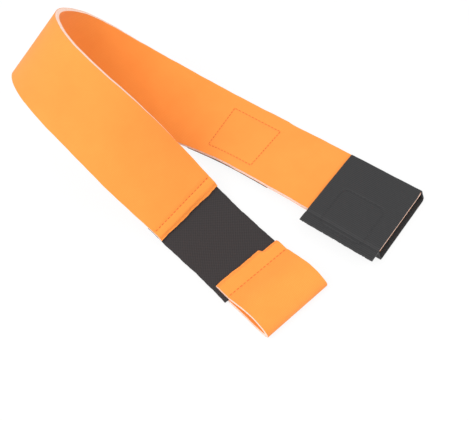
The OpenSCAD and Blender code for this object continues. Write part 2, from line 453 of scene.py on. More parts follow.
class SmoothCurve:
    """A smooth curve through handles, measured along its own length.

    It runs on straight past both ends. Columns past the first `spatial` ones, such as a bank
    angle, are carried along and don't count in the length.
    """

    STEPS = 40

    def __init__(self, handles: Sequence[Sequence[float]], spatial: int) -> None:
        """Lays out the curve and measures it.

        Args:
            handles: The curve's handles, one row each.
            spatial: How many leading columns are lengths.
        """
        self.handles = np.array(handles, float)
        self.spatial = spatial
        self.spans = len(self.handles) - 3
        self.places = np.linspace(0, self.spans, self.spans * self.STEPS + 1)
        points = self._raw(self.places)[0][:, :spatial]
        steps = np.linalg.norm(np.diff(points, axis=0), axis=1)
        self.lengths = np.concatenate([[0.0], np.cumsum(steps)])
        self.length = float(self.lengths[-1])

    def _raw(self, t: np.ndarray) -> tuple[np.ndarray, np.ndarray]:
        """Points and slopes at places counted in spans.

        Args:
            t: Places along the curve, counted in spans.

        Returns:
            The points with all their columns, and their slopes.
        """
        i = np.minimum(t.astype(int), self.spans - 1)
        u = (t - i)[:, None]
        a, b, c, d = (self.handles[i + k] for k in range(4))
        point = ((1 - u) ** 3 * a + (3 * u**3 - 6 * u**2 + 4) * b) / 6
        point += ((-3 * u**3 + 3 * u**2 + 3 * u + 1) * c + u**3 * d) / 6
        slope = (-((1 - u) ** 2) * a + (3 * u**2 - 4 * u) * b) / 2
        slope += ((-3 * u**2 + 2 * u + 1) * c + u**2 * d) / 2
        return point, slope

    def at(self, s: np.ndarray) -> tuple[np.ndarray, np.ndarray]:
        """Finds points and directions at lengths along the curve.

        Args:
            s: Lengths from the curve's start; they may lie past either end.

        Returns:
            The points with all their columns, and the unit directions in space.
        """
        inside = np.clip(s, 0, self.length)
        point, slope = self._raw(np.interp(inside, self.lengths, self.places))
        way = slope[:, : self.spatial]
        way = way / np.linalg.norm(way, axis=1)[:, None]
        point[:, : self.spatial] += way * (s - inside)[:, None]
        return point, way


def smooth(x: np.ndarray | float) -> np.ndarray:
    """Eases from 0 to 1 as x goes from 0 to 1."""
    u = np.clip(x, 0, 1)
    return u * u * (3 - 2 * u)


def ridge(x: np.ndarray, width: float) -> np.ndarray:
    """A rounded ridge of height 1 at x = 0, about `width` wide."""
    return np.exp(-((x / width) ** 2))


def wander(x: np.ndarray, wavelength: float, phase: float) -> np.ndarray:
    """A slow uneven wave between about -1 and 1, the same on every run."""
    turn = 2 * math.pi * x / wavelength
    return (
        np.sin(turn + phase) + 0.6 * np.sin(2.31 * turn + 2 * phase)
        + 0.4 * np.sin(4.87 * turn + 3.1 * phase)
    ) / 2


# ---------------------------------------------------------------------------
# Flat cloth and how it becomes a mesh
# ---------------------------------------------------------------------------


def spaced(first: float, last: float, step: float, fine: Sequence[tuple[float, float]] = ()
           ) -> np.ndarray:
    """Stations from first to last, closer together near chosen places.

    Args:
        first: The first station.
        last: The last station.
        step: The usual distance between stations.
        fine: Pairs of a place and its reach, where the distance is a quarter of the usual.

    Returns:
        The stations, in order.
    """
    stations = [first]
    while stations[-1] < last:
        here = stations[-1]
        close = any(abs(here - place) < reach for place, reach in fine)
        stations.append(here + (step / 4 if close else step))
    scaled = np.array(stations)
    return first + (scaled - first) * (last - first) / (scaled[-1] - first)


def flat_slab(along: np.ndarray, across: np.ndarray, low: float, high: float) -> bmesh.types.BMesh:
    """A flat slab of cloth, not yet bent.

    Args:
        along: Stations along the cloth.
        across: Stations across it.
        low: Height of its underside.
        high: Height of its upper side.

    Returns:
        A closed slab whose vertices are (along, across, height).
    """
    bm = bmesh.new()
    bmesh.ops.create_grid(bm, x_segments=len(along) - 1, y_segments=len(across) - 1, size=0.5)
    for vert in bm.verts:
        x = (vert.co.x + 0.5) * (len(along) - 1)
        y = (vert.co.y + 0.5) * (len(across) - 1)
        vert.co = (along[round(x)], across[round(y)], low)
    raised = bmesh.ops.extrude_face_region(bm, geom=bm.faces[:])
    tops = [e for e in raised["geom"] if isinstance(e, bmesh.types.BMVert)]
    bmesh.ops.translate(bm, verts=tops, vec=(0, 0, high - low))
    bmesh.ops.recalc_face_normals(bm, faces=bm.faces[:])
    return bm


def flat_points(bm: bmesh.types.BMesh) -> Flat:
    """All the mesh's vertices as rows of (along, across, height)."""
    return np.array([v.co[:] for v in bm.verts], float).reshape(-1, 3)


def bend_to(bm: bmesh.types.BMesh, place: Place) -> None:
    """Gives a flat piece its map in millimetres, then moves it to its real place.

    Args:
        bm: A piece whose vertices are (along, across, height).
        place: Turns such rows into points of the frame, in millimetres.
    """
    bm.verts.ensure_lookup_table()
    layer = bm.loops.layers.uv.verify()
    flat = flat_points(bm)
    for face in bm.faces:
        for loop in face.loops:
            loop[layer].uv = flat[loop.vert.index][:2]
    for vert, point in zip(bm.verts, place(flat) * MM):
        vert.co = point


def finished(name: str, bm: bmesh.types.BMesh, material: bpy.types.Material
             ) -> bpy.types.Object:
    """Turns a mesh into a shown piece with its finish.

    Args:
        name: The piece's name.
        bm: Its mesh, in metres; it is freed.
        material: Its finish.

    Returns:
        The new object, at the origin.
    """
    bmesh.ops.recalc_face_normals(bm, faces=bm.faces[:])
    mesh = bpy.data.meshes.new(name)
    bm.to_mesh(mesh)
    bm.free()
    if mesh.uv_layers:
        mesh.uv_layers[0].name = "cloth"
    mesh.shade_smooth()
    mesh.set_sharp_from_angle(angle=SHARP_ANGLE)
    mesh.materials.append(material)
    piece = bpy.data.objects.new(name, mesh)
    bpy.context.scene.collection.objects.link(piece)
    LOG.info("%s: %d faces", name, len(mesh.polygons))
    return piece


def sewn_row(points: Flat, place: Place, radius: float, pitch: float) -> bmesh.types.BMesh:
    """A row of single stitches along a path on the cloth.

    Args:
        points: The path's corners as rows of (along, across, height).
        place: Turns such rows into points of the frame, in millimetres.
        radius: The thread's radius.
        pitch: Distance from one stitch to the next.

    Returns:
        The stitches, each a small low bead, in place.
    """
    bm = bmesh.new()
    for start, end in zip(points[:-1], points[1:]):
        run = end - start
        length = float(np.linalg.norm(run))
        count = max(1, round(length / pitch))
        heading = math.atan2(run[1], run[0])
        for k in range(count):
            middle = start + run * (k + 0.5) / count
            shape = (
                Matrix.Translation(Vector(middle))
                @ Matrix.Rotation(heading, 4, "Z")
                @ Matrix.Diagonal((0.42 * length / count, radius, radius * 0.8, 1))
            )
            bmesh.ops.create_uvsphere(bm, u_segments=8, v_segments=5, radius=1, matrix=shape)
    bend_to(bm, place)
    return bm


# ---------------------------------------------------------------------------
# The band
# ---------------------------------------------------------------------------


@dataclass
class BandRoute:
    """The way the band lies: its middle line and how far it banks, station by station."""

    handles: tuple[tuple[float, float, float, float], ...] = (
        (14, -87, 1.5, 0), (-35, -78, 1.5, 0), (-90, -66, 1.5, 0),
        (-130, -76, 62, 48), (-180, -76, 87, 45), (-211, -56, 82, 33),
        (-210, -23, 43, 119), (-167, -8, 11, 148), (-107, 0, 6, 180),
        (-65, 0, 7, 180), (-28, 0, 7, 180), (19, 0, 7, 180),
    )
    curve: SmoothCurve = field(init=False)

    def __post_init__(self) -> None:
        """Measures the route."""
        self.curve = SmoothCurve(self.handles, spatial=3)

    @property
    def length(self) -> float:
        """Length from the finger loop to the band's hinge at the keeper."""
        return self.curve.length

    def frame_at(self, s: np.ndarray) -> tuple[np.ndarray, np.ndarray, np.ndarray, np.ndarray]:
        """Finds the band's own axes.

        Args:
            s: Stations along the band.

        Returns:
            The middle line's points, and the unit vectors along, across and out of the band.
        """
        point, along = self.curve.at(s)
        level = np.cross(along, [0.0, 0.0, 1.0])
        level /= np.linalg.norm(level, axis=1)[:, None]
        rise = np.cross(level, along)
        bank = np.radians(point[:, 3])[:, None]
        across = level * np.cos(bank) + rise * np.sin(bank)
        return point[:, :3], along, across, np.cross(across, along)

    def place(self, flat: Flat) -> Flat:
        """Moves rows of (station, across, height) onto the band."""
        middle, _, across, outward = self.frame_at(flat[:, 0])
        return middle + across * flat[:, 1:2] + outward * flat[:, 2:3]

    def point(self, s: float, w: float = 0.0, h: float = 0.0) -> Vector:
        """One point of the band, in metres."""
        return Vector(self.place(np.array([[s, w, h]]))[0] * MM)


@dataclass
class NeopreneBand:
    """The laminated band: knit on both faces of a foam core, with bare cut edges."""

    route: BandRoute
    width: float = 50.0
    thickness: float = 3.0
    jersey: float = 0.3
    start: float = 49.0
    near_fold: float = 185.0
    split: float = 205.0
    far_fold: float = 225.0
    end_split: float = 424.0
    tip: float = 494.0
    fold_reach: float = 19.0
    lap_seam: float = 56.5
    box: tuple[float, float, float, float] = (358.0, 394.0, -18.0, 15.5)
    box_pull: float = 395.0
    seam_depth: float = 0.32
    end_press: float = 0.5
    press_reach: float = 3.2
    lap_valley: float = 0.38
    lap_sag: float = 0.15
    edge_wander: float = 0.22
    side_swell: float = 0.18
    sleeve_squeeze: float = 0.045
    step: float = 1.6
    across_step: float = 1.5

    def box_distance(self, s: np.ndarray, w: np.ndarray) -> np.ndarray:
        """Distance from the box of stitches that holds the pile patch.

        Args:
            s: Stations along the band.
            w: Stations across it.

        Returns:
            The distances, none below 0.
        """
        s0, s1, w0, w1 = self.box
        ds = np.maximum(s0 - s, s - s1)
        dw = np.maximum(w0 - w, w - w1)
        outside = np.hypot(np.maximum(ds, 0), np.maximum(dw, 0))
        return np.abs(outside + np.minimum(np.maximum(ds, dw), 0))

    def shaped(self, flat: Flat) -> Flat:
        """Works the cloth before it is bent: sunk seams, a pinched end and uneven edges.

        Args:
            flat: Rows of (station, across, height) of plain cloth.

        Returns:
            The same rows with the cloth's small forms in them.
        """
        s, w, h = flat.T.copy()
        half = self.thickness / 2
        edge = np.abs(w) / (self.width / 2)
        # The cut end is pressed thin by the seam behind it.
        pinch = self.end_press * (1 - smooth((s - self.start) / self.press_reach))
        h = -half + (h + half) * (1 - pinch)
        # The seam behind the end leaves a shallow valley.
        seam = s - self.lap_seam
        valley = ridge(seam, 1.3) * self.lap_valley + ridge(seam, 5) * self.lap_sag
        h -= valley * smooth((h + half) / self.thickness)
        # The box seam dents the face it is seen on and lifts the cloth inside it a little.
        gap = self.box_distance(s, w)
        dent = ridge(gap, 0.75) * self.seam_depth + ridge(gap, 3.5) * 0.12
        h += dent * smooth((half - h) / self.thickness)
        # Blade-cut edges wander by a few tenths of a millimetre.
        rim = edge**6
        w += np.sign(w) * rim * self.edge_wander * wander(s, 61, 1.3 * np.sign(w))
        w += rim * (w > 0) * 0.5 * (1 - smooth((s - self.box_pull + 2) / 5)) * smooth((s - 372) / 9)
        s = s + (1 - smooth((s - self.start) / 3)) * 0.35 * wander(w, 23, 0.4)
        # Inside the sleeve the far edge is squeezed by the webbing's fold.
        tuck = smooth((s - self.route.length - 1.2) / 3) * (w > 0)
        w -= tuck * self.sleeve_squeeze * w * edge
        return np.stack([s, w, h], axis=1)

    def place(self, flat: Flat) -> Flat:
        """Shapes flat cloth and lays it on the route."""
        return self.route.place(self.shaped(flat))

    def across_stations(self) -> np.ndarray:
        """Stations across the band, closer together where the box seam runs.

        Returns:
            The stations, in order.
        """
        half = self.width / 2
        fine = [(self.box[2], 1.6), (self.box[3], 1.6), (-half, 0.8), (half - 0.4, 0.8)]
        return spaced(-half, half, self.across_step, fine)

    def ply(self, name: str, ply: Ply, first: float, last: float,
            fine: Sequence[tuple[float, float]], materials: dict[Ply, bpy.types.Material]
            ) -> bpy.types.Object:
        """Builds one ply over one stretch of the band.

        Args:
            name: The piece's name.
            ply: Which ply.
            first: Its first station.
            last: Its last station.
            fine: Where its stations lie closer together.
            materials: The finish of each ply.

        Returns:
            The piece.
        """
        low, high = ply_heights(self.thickness, self.jersey)[ply]
        bm = flat_slab(spaced(first, last, self.step, fine), self.across_stations(), low, high)
        if ply is Ply.CORE:
            self.crown_sides(bm, low, high)
        bend_to(bm, self.place)
        return finished(name, bm, materials[ply])

    def crown_sides(self, bm: bmesh.types.BMesh, low: float, high: float) -> None:
        """Cuts a middle loop into the foam's bare sides and lets it swell out a little.

        Args:
            bm: The flat foam.
            low: Height of its underside.
            high: Height of its upper side.
        """
        middle = (low + high) / 2
        bmesh.ops.bisect_plane(
            bm, geom=bm.verts[:] + bm.edges[:] + bm.faces[:], plane_co=(0, 0, middle),
            plane_no=(0, 0, 1),
        )
        for vert in bm.verts:
            if abs(vert.co.z - middle) < 1e-4:
                vert.co.y *= 1 + self.side_swell / (self.width / 2)

    def build(self, materials: dict[Ply, bpy.types.Material]) -> None:
        """Builds the near, far and end stretches of all three plies.

        Args:
            materials: The finish of each ply.
        """
        fold = self.fold_reach
        near_fine = [(self.start, 3.5), (self.lap_seam, 2.5)]
        far_fine = [(self.box[0], 1.8), (self.box[1], 1.8)]
        for ply in Ply:
            near = self.ply(
                f"near_band_{ply.value}", ply, self.start, self.split, near_fine, materials
            )
            self.route.point(self.near_fold - fold - 3)
            self.route.point(self.near_fold + fold - 3)
            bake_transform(near)
            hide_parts(f"near_{ply.value}", f"bend_{ply.value}")
            far = self.ply(
                f"far_band_{ply.value}", ply, self.split, self.end_split, far_fine, materials
            )
            self.route.point(self.far_fold - fold + 3)
            self.route.point(self.far_fold + fold + 3)
            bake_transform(far)
            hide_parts(f"far_{ply.value}", f"bend_{ply.value}")
            end = self.ply(f"end_band_{ply.value}", ply, self.end_split, self.tip, [], materials)
            entry = self.route.length
            self.route.point(entry - 7)
            self.route.point(entry + 5)
            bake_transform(end)
            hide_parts(f"end_{ply.value}")

    def build_seams(self, thread: bpy.types.Material) -> None:
        """Sews the box that holds the patch and the row that holds the tape.

        Args:
            thread: The thread's finish.
        """
        s0, s1, w0, w1 = self.box
        under = -self.thickness / 2
        corners = np.array([
            (s0, w0, under), (s1, w0, under), (s1, w1, under), (s0, w1, under), (s0, w0, under)
        ])
        box = finished(
            "patch_box_thread", sewn_row(corners, self.place, 0.3, 2.6), thread
        )
        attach(box, "far_leg")
        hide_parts("patch_stitch")
        half = self.width / 2 - 1
        top = self.thickness / 2
        row = np.array([(self.lap_seam, -half, top), (self.lap_seam, half, top)])
        lap = finished(
            "tape_lap_thread", sewn_row(row, self.place, 0.28, 2.6), thread
        )
        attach(lap, "near_leg")
        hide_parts("lap_stitch")


@dataclass
class PilePatch:
    """Brushed pile sewn to the band's outer face, where the hooks grip."""

    band: NeopreneBand
    start: float = 344.0
    length: float = 68.0
    thickness: float = 1.0
    nap: float = 0.16

    def build(self, material: bpy.types.Material) -> None:
        """Builds the patch with its uneven nap.

        Args:
            material: The pile's finish.
        """
        half = self.band.width / 2
        low = self.band.thickness / 2
        high = low + self.thickness
        bm = flat_slab(
            spaced(self.start, self.start + self.length, 0.8), spaced(-half, half, 0.8), low, high
        )
        noise = np.random.default_rng(SEED)
        for vert in bm.verts:
            if vert.co.z > low + 0.01:
                vert.co.z += float(noise.uniform(-self.nap, 0))
        bend_to(bm, self.band.route.place)
        patch = finished("pile_patch_cloth", bm, material)
        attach(patch, "far_leg")
        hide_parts("pile_patch")
        self.length * MM


# ---------------------------------------------------------------------------
# The hook tape
# ---------------------------------------------------------------------------


@dataclass
class HookTape:
    """Woven tape with hooks beneath, sewn under the band and into the finger loop."""

    route: BandRoute
    width: float = 50.0
    thickness: float = 1.2
    band_start: float = 49.0
    band_half: float = 1.5
    solid_tape: float = 1.4
    lap_end: float = 61.0
    root_end: float = -11.0
    middle: float = 24.5
    hook_margin: float = 5.0
    hook_pitch: float = 1.7
    hook_height: float = 1.15

    def offset(self, s: np.ndarray) -> np.ndarray:
        """Height of the tape's middle: under the band at one end, in the loop at the other.

        Args:
            s: Stations along the tape.

        Returns:
            Heights from the route's middle line.
        """
        rise = 2 * self.band_half + self.solid_tape / 2 - self.band_half
        drop = self.band_half + self.solid_tape / 2
        return rise - (rise + drop) * smooth(s / self.band_start)

    def place(self, flat: Flat) -> Flat:
        """Lays the tape: slightly narrower at the loop, with edges that wander a little.

        Args:
            flat: Rows of flat cloth, in millimetres.

        Returns:
            Points of the frame, in millimetres.
        """
        s, w, h = flat.T.copy()
        edge = (np.abs(w) / (self.width / 2)) ** 6
        w *= 1 - 0.024 * (1 - smooth(s / self.band_start))
        w += np.sign(w) * edge * 0.2 * wander(s, 19, 0.7 * np.sign(w))
        # The tape bows up a little between its two seams.
        h += self.offset(s) + 0.25 * np.sin(math.pi * np.clip(s / self.band_start, 0, 1))
        return self.route.place(np.stack([s, w, h], axis=1))

    def cloth(self, name: str, first: float, last: float, material: bpy.types.Material
              ) -> bpy.types.Object:
        """One stretch of the woven backing.

        Args:
            name: The piece's name.
            first: Its first station.
            last: Its last station.
            material: Its finish.

        Returns:
            The piece.
        """
        half = self.width / 2
        bm = flat_slab(
            spaced(first, last, 1.2), spaced(-half, half, 1.5, [(-half, 2), (half - 0.5, 2)]),
            -self.thickness / 2, self.thickness / 2,
        )
        self.thin_edges(bm, half)
        bend_to(bm, self.place)
        return finished(name, bm, material)

    def thin_edges(self, bm: bmesh.types.BMesh, half: float) -> None:
        """Thins the tape into its woven selvedges."""
        for vert in bm.verts:
            edge = smooth((abs(vert.co.y) - half + 2.5) / 2.5)
            vert.co.z *= 1 - 0.45 * float(edge)

    def hooks(self, name: str, first: float, last: float, material: bpy.types.Material
              ) -> bpy.types.Object:
        """Rows of small bent hooks under one stretch of the tape.

        Args:
            name: The piece's name.
            first: Its first station.
            last: Its last station.
            material: Its finish.

        Returns:
            The piece.
        """
        bm = bmesh.new()
        half = self.width / 2 - 2
        rows = int((last - first) / self.hook_pitch)
        columns = int(2 * half / self.hook_pitch)
        base = -self.thickness / 2
        for i in range(rows):
            for j in range(columns):
                s = first + (i + 0.5) * self.hook_pitch
                w = -half + (j + 0.5) * 2 * half / columns
                way = 1 if (i + j) % 2 else -1
                self.one_hook(bm, s, w, base, way)
        bend_to(bm, self.place)
        return finished(name, bm, material)

    def one_hook(self, bm: bmesh.types.BMesh, s: float, w: float, base: float, way: int) -> None:
        """One hook: a tapered stem and a short barb that leans along the tape.

        Args:
            bm: The mesh to add it to.
            s: The hook's station.
            w: Its place across the tape.
            base: Height of the tape's face.
            way: Which way it leans: 1 or -1.
        """
        stem = self.hook_height * 0.62
        barb = self.hook_height * 0.5
        upright = Matrix.Translation((s, w, base - stem / 2 + 0.05))
        bmesh.ops.create_cone(
            bm, cap_ends=True, segments=4, radius1=0.2, radius2=0.32, depth=stem, matrix=upright
        )
        lean = (
            Matrix.Translation((s + way * 0.22, w, base - stem - 0.08))
            @ Matrix.Rotation(way * math.radians(58), 4, "Y")
        )
        bmesh.ops.create_cone(
            bm, cap_ends=True, segments=4, radius1=0.2, radius2=0.12, depth=barb + 0.25,
            matrix=lean,
        )

    def build(self, weave: bpy.types.Material, plastic: bpy.types.Material) -> None:
        """Builds both halves of the tape and the hooks under each.

        Args:
            weave: The tape's finish.
            plastic: The hooks' finish.
        """
        upper = self.cloth("tape_band_half", self.middle, self.lap_end, weave)
        lower = self.cloth("tape_loop_half", self.root_end, self.middle, weave)
        hooks_up = self.hooks(
            "hooks_band_half", self.middle, self.band_start - self.hook_margin, plastic
        )
        hooks_down = self.hooks("hooks_loop_half", self.hook_margin, self.middle, plastic)
        for piece in (upper, hooks_up):
            self.route.point(50.0)
            self.route.point(38.0)
            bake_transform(piece)
        for piece in (lower, hooks_down):
            self.route.point(11.0)
            self.route.point(-0.5)
            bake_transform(piece)
        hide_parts("tape_backing", "tape_lap")
        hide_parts("tape_backing", "tape_root")
        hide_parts("hook_field")
        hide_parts("hook_field")


# ---------------------------------------------------------------------------
# The finger loop
# ---------------------------------------------------------------------------


@dataclass
class FingerLoop:
    """A strip of the same laminate folded round and sewn on the end of the tape."""

    route: BandRoute
    low: float = -22.0
    high: float = 24.5
    heading: float = -9.5
    thickness: float = 3.0
    jersey: float = 0.3
    tape: float = 1.4
    seam: float = 11.0
    profile: tuple[tuple[float, float], ...] = (
        (-6, 5.9), (0, 5.9), (6, 5.9), (12, 5.9), (18, 8), (25, 10.6), (33, 10.4),
        (40, 8), (43.3, 4.5), (40, 1.5), (33, 1.5), (22, 1.5), (11, 1.5), (0, 1.5),
        (-11, 1.5),
    )
    curve: SmoothCurve = field(init=False)

    def __post_init__(self) -> None:
        """Measures the folded strip."""
        self.curve = SmoothCurve(self.profile, spatial=2)

    def place(self, flat: Flat) -> Flat:
        """Moves rows of (length round the fold, across, height) into the loop.

        Args:
            flat: Rows of flat cloth, in millimetres.

        Returns:
            Points of the frame, in millimetres.
        """
        q, w, h = flat.T.copy()
        half = self.thickness / 2
        # Both ends are pressed thin where the tape goes in.
        first = 0.45 * (1 - smooth(q / 3.0))
        last = 0.45 * (1 - smooth((self.curve.length - q) / 3.0))
        h = -half + (h + half) * (1 - first - last)
        valley = ridge(q - self.seam, 1.4) * 0.4 + ridge(q - self.seam, 5) * 0.2
        h -= valley * smooth((h + half) / self.thickness)
        # The top ply was cut with a small step at its far side.
        q = q + (1 - smooth(q / 6)) * 1.9 * smooth((w - 12.0) / 1.4)
        q = q + (1 - smooth(q / 4)) * 0.3 * wander(w, 21, 2.0)
        edge = (np.abs(w) / 24.5) ** 6
        w += np.sign(w) * edge * 0.25 * wander(q, 37, 0.9 * np.sign(w))
        point, way = self.curve.at(q)
        u = point[:, 0] - h * way[:, 1]
        z = point[:, 1] + h * way[:, 0]
        angle = math.radians(self.heading)
        ahead = np.array([math.cos(angle), math.sin(angle), 0.0])
        middle, _, across, _ = self.route.frame_at(np.zeros(1))
        root = middle[0] * [1, 1, 0]
        return root + u[:, None] * ahead + w[:, None] * across[0] + z[:, None] * [0, 0, 1]

    def build(self, materials: dict[Ply, bpy.types.Material], thread: bpy.types.Material) -> None:
        """Builds the loop's three plies and its seam.

        Args:
            materials: The finish of each ply.
            thread: The thread's finish.
        """
        half = self.thickness / 2
        spans = ply_heights(self.thickness, self.jersey)
        around = spaced(0.0, self.curve.length, 1.2, [(0.0, 3.0), (self.seam, 3.0)])
        across = spaced(self.low, self.high, 1.5, [(self.low, 1.0), (13.0, 1.5), (self.high, 1.0)])
        for ply, (low, high) in spans.items():
            bm = flat_slab(around, across, low, high)
            bend_to(bm, self.place)
            piece = finished(f"finger_loop_{ply.value}", bm, materials[ply])
            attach(piece, "pull_loop")
            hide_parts(f"loop_{ply.value}")
            if ply is Ply.CORE:
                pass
            else:
                size = ((self.high - self.low) * MM, self.curve.length * MM)
        row = np.array([(self.seam, self.low + 1, half), (self.seam, self.high - 1, half)])
        beads = sewn_row(row, self.place, 0.28, 2.6)
        seam = finished("loop_thread", beads, thread)
        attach(seam, "pull_loop")
        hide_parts("loop_stitch")


# ---------------------------------------------------------------------------
# The keeper sleeve
# ---------------------------------------------------------------------------


@dataclass
class KeeperSleeve:
    """Ribbed webbing wrapped round the band's end, sewn into a flap and left open below."""

    back: float = -25.0
    front: float = 25.5
    rim: float = 2.3
    thickness: float = 1.2
    top: float = 9.1
    fold: float = 25.2
    wall: float = -26.8
    flap: float = -35.0
    corner: float = 1.9
    rib: float = 1.25
    rib_height: float = 0.09
    box: tuple[float, float, float, float] = (-14.8, 14.5, -30.0, 0.0)
    box_corner: float = 4.5
    crease_at: float = -27.2
    crease_depth: float = 0.45
    crease_sag: float = 0.15
    dent_depth: float = 0.3
    unevenness: float = 0.18
    columns: int = 84
    rows: int = 300

    def path(self) -> np.ndarray:
        """The webbing's middle line seen along the band, as rows of (y, z).

        Returns:
            The points from one cut end to the other.
        """
        under = self.thickness / 2
        lap = self.top - self.thickness
        corners = [
            (self.flap, self.top), (self.fold, self.top), (self.fold, under),
            (self.wall, under), (self.wall, lap), (self.flap + 0.7, lap),
        ]
        points = [np.array(corners[0])]
        for before, here, after in zip(corners[:-2], corners[1:-1], corners[2:]):
            points.extend(self.rounded(np.array(before), np.array(here), np.array(after)))
        points.append(np.array(corners[-1]))
        return np.array(points)

    def rounded(self, before: np.ndarray, here: np.ndarray, after: np.ndarray) -> list[np.ndarray]:
        """Points of the bend at one corner of the path.

        Args:
            before: The corner before this one.
            here: This corner.
            after: The corner after it.

        Returns:
            Points along a round bend between the two straight runs.
        """
        into = (here - before) / np.linalg.norm(here - before)
        away = (after - here) / np.linalg.norm(after - here)
        points = []
        for t in np.linspace(0, 1, 9):
            angle = t * math.pi / 2
            points.append(
                here - into * self.corner * (1 - math.sin(angle))
                + away * self.corner * (1 - math.cos(angle))
            )
        return points

    def laid(self, q: np.ndarray) -> tuple[np.ndarray, np.ndarray]:
        """Points and directions at lengths along the webbing's path.

        Args:
            q: Lengths from the cut end on the flap.

        Returns:
            The points, and the unit directions there, as (y, z).
        """
        path = self.path()
        lengths = np.concatenate([[0], np.cumsum(np.linalg.norm(np.diff(path, axis=0), axis=1))])
        point = np.stack([np.interp(q, lengths, path[:, k]) for k in (0, 1)], axis=1)
        ahead = np.stack([np.interp(q + 0.3, lengths, path[:, k]) for k in (0, 1)], axis=1)
        behind = np.stack([np.interp(q - 0.3, lengths, path[:, k]) for k in (0, 1)], axis=1)
        way = ahead - behind
        return point, way / np.linalg.norm(way, axis=1)[:, None]

    @property
    def length(self) -> float:
        """Length of webbing from one cut end to the other."""
        path = self.path()
        return float(np.sum(np.linalg.norm(np.diff(path, axis=0), axis=1)))

    def box_distance(self, x: np.ndarray, y: np.ndarray) -> np.ndarray:
        """Distance from the rounded box of stitches on the sleeve's top.

        Args:
            x: Places along the band.
            y: Places across it.

        Returns:
            The distances, none below 0.
        """
        x0, x1, y0, y1 = self.box
        r = self.box_corner
        dx = np.abs(x - (x0 + x1) / 2) - (x1 - x0) / 2 + r
        dy = np.abs(y - (y0 + y1) / 2) - (y1 - y0) / 2 + r
        outside = np.hypot(np.maximum(dx, 0), np.maximum(dy, 0))
        return np.abs(outside + np.minimum(np.maximum(dx, dy), 0) - r)

    def sunk(self, x: np.ndarray, y: np.ndarray) -> np.ndarray:
        """Finds how far the seams pull the sleeve's top down.

        Args:
            x: Places along the band.
            y: Places across it.

        Returns:
            Depths below a flat top: the edge seam's crease and the box seam's dent, less a slow
            unevenness.
        """
        seam = y - self.crease_at
        crease = ridge(seam, 1.0) * self.crease_depth + ridge(seam, 3.0) * self.crease_sag
        dent = ridge(self.box_distance(x, y), 0.7) * self.dent_depth
        return crease + dent - self.unevenness * wander(x + 0.7 * y, 33, 0.5)

    def place(self, flat: Flat) -> Flat:
        """Wraps rows of (x share, length along the webbing, height) round the band.

        Args:
            flat: Rows of flat cloth, in millimetres.

        Returns:
            Points of the frame, in millimetres.
        """
        share, q, h = flat.T.copy()
        point, way = self.laid(np.clip(q, 0, self.length))
        y, z = point.T
        on_top = smooth((z - 7.0) / 1.5) * (q < self.length / 2)
        # The mouth slants: its lower rim reaches past the upper one.
        front = self.front + self.rim * (1 - smooth(z / 8.0))
        # The fold and the cut corners aren't quite square.
        front = front - 0.5 * smooth((y - 18) / 8) * on_top
        x = self.back + (front - self.back) * share
        z = z - on_top * self.sunk(x, y)
        lip = smooth((x - self.front + 6) / 8) * smooth((4 - z) / 4) * (y < 20) * (y > -24)
        z = z + lip * 0.15 * wander(y, 17, 1.0)
        normal = np.stack([-way[:, 1], way[:, 0]], axis=1)
        y = y + h * normal[:, 0]
        z = z + h * normal[:, 1]
        return np.stack([x, y, z], axis=1)

    def build_webbing(self, material: bpy.types.Material) -> None:
        """Builds the wrapped webbing with raised ribs and uneven cut ends.

        Args:
            material: The webbing's finish.
        """
        bm = flat_slab(
            np.linspace(0, 1, self.columns + 1), np.linspace(0, self.length, self.rows + 1),
            -self.thickness / 2 + self.rib_height, self.thickness / 2 - self.rib_height,
        )
        noise = np.random.default_rng(SEED)
        jag = noise.uniform(-0.55, 0.45, (2, self.columns + 1))
        for vert in bm.verts:
            q = vert.co.y
            swell = abs(math.sin(math.pi * q / self.rib))
            vert.co.z += math.copysign(self.rib_height * swell, vert.co.z)
            column = round(vert.co.x * self.columns)
            if q < 1.0:
                vert.co.y += float(jag[0, column]) * (1 - q)
            if q > self.length - 1.0:
                vert.co.y += float(jag[1, column]) * (q - self.length + 1)
        layer_scale = self.front - self.back
        bend_to(bm, self.place)
        uv = bm.loops.layers.uv.verify()
        for face in bm.faces:
            for loop in face.loops:
                loop[uv].uv.x *= layer_scale
        webbing = finished("keeper_webbing", bm, material)
        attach(webbing, "keeper")
        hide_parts("keeper_ribbon")
        size = ((self.front - self.back + self.rim) * MM, self.length * MM)

    def top_place(self, flat: Flat) -> Flat:
        """Lays rows of (x, y, height over the top) on the sleeve's upper side.

        Args:
            flat: Rows of flat cloth, in millimetres.

        Returns:
            Points of the frame, in millimetres.
        """
        x, y, h = flat.T.copy()
        z = self.top + self.thickness / 2 - self.sunk(x, y)
        return np.stack([x, y, z + h], axis=1)

    def rounded_box(self) -> np.ndarray:
        """Corners of the box seam's path, with its corners rounded.

        Returns:
            The corners in order, the first one repeated at the end.
        """
        x0, x1, y0, y1 = self.box
        r = self.box_corner
        centres = [(x1 - r, y1 - r, 0), (x0 + r, y1 - r, 90), (x0 + r, y0 + r, 180),
                   (x1 - r, y0 + r, 270)]
        points = []
        for cx, cy, turn in centres:
            for step in range(4):
                angle = math.radians(turn + step * 30)
                points.append((cx + r * math.cos(angle), cy + r * math.sin(angle), 0.0))
        return np.array(points + points[:1])

    def build_seams(self, thread: bpy.types.Material) -> None:
        """Sews the rounded box and the row along the flap.

        Args:
            thread: The thread's finish.
        """
        box = finished(
            "keeper_box_thread", sewn_row(self.rounded_box(), self.top_place, 0.28, 2.4),
            thread,
        )
        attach(box, "keeper")
        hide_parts("keeper_box_stitch")
        y = self.flap + 2.8
        row = np.array([(self.back + 1, y, 0.0), (self.front - 1, y, 0.0)])
        flap = finished(
            "keeper_flap_thread", sewn_row(row, self.top_place, 0.28, 2.4), thread
        )
        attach(flap, "keeper")
        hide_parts("keeper_flap_stitch")


# ---------------------------------------------------------------------------
# Stage
# ---------------------------------------------------------------------------


